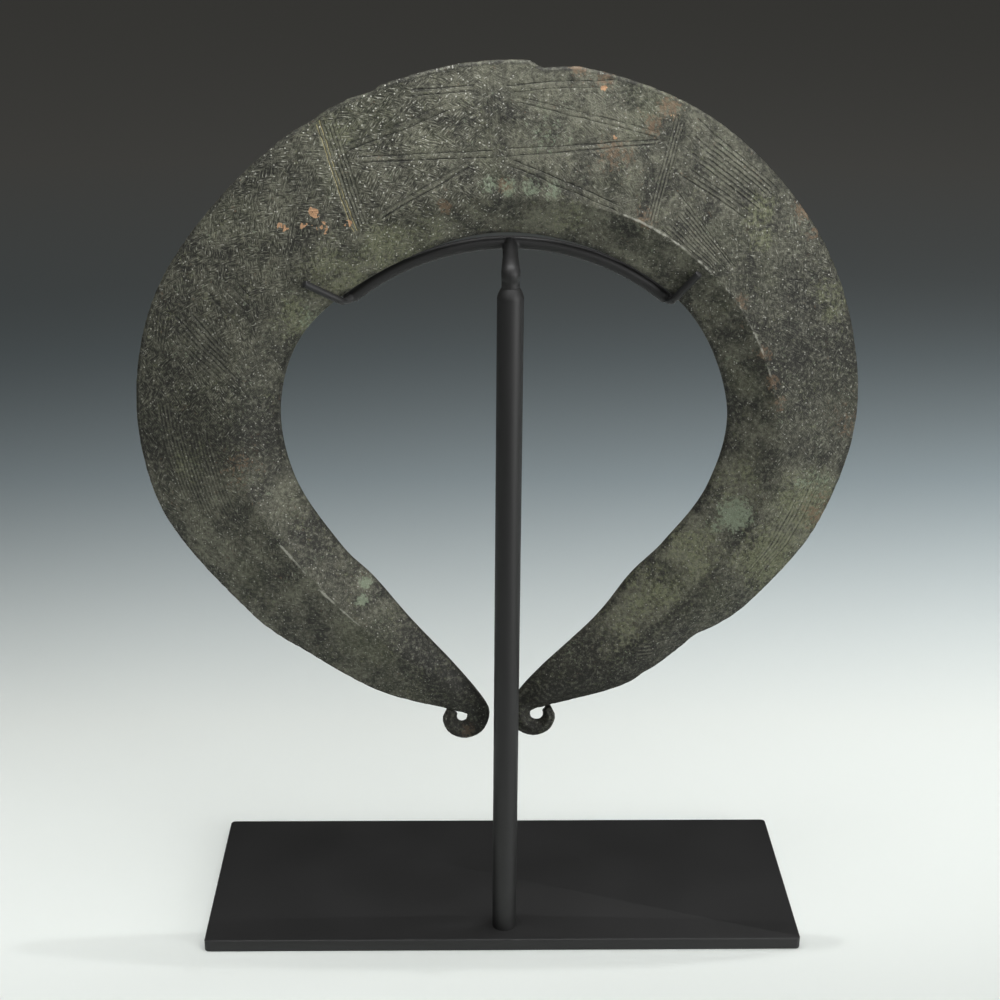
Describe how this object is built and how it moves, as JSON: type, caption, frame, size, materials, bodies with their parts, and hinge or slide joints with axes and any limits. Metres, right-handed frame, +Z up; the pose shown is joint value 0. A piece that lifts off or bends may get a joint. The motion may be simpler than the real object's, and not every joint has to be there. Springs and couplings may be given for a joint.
{
  "type": "currency torc on a display stand",
  "caption": "Crescent neck ring of cast copper alloy with engraved lines and rolled eyelet tips, held upright by a wire cradle on a post with a flat foot plate.",
  "frame": {"origin": "middle of the base plate's underside, on the surface that the stand rests on", "axes": "+Z up, +X to the right of someone looking at the engraved face, +Y away from them"},
  "size_m": [0.2608, 0.09, 0.3426],
  "materials": {
    "patinated_bronze": "cast copper alloy, hammered and engraved, with a dark grey-green pitted patina and small spots of bare orange metal",
    "black_paint": "satin black sprayed paint over steel"
  },
  "bodies": {
    "root": {"torc": "patinated_bronze", "cradle": "black_paint", "post": "black_paint", "base_plate": "black_paint"}
  },
  "joints": []
}
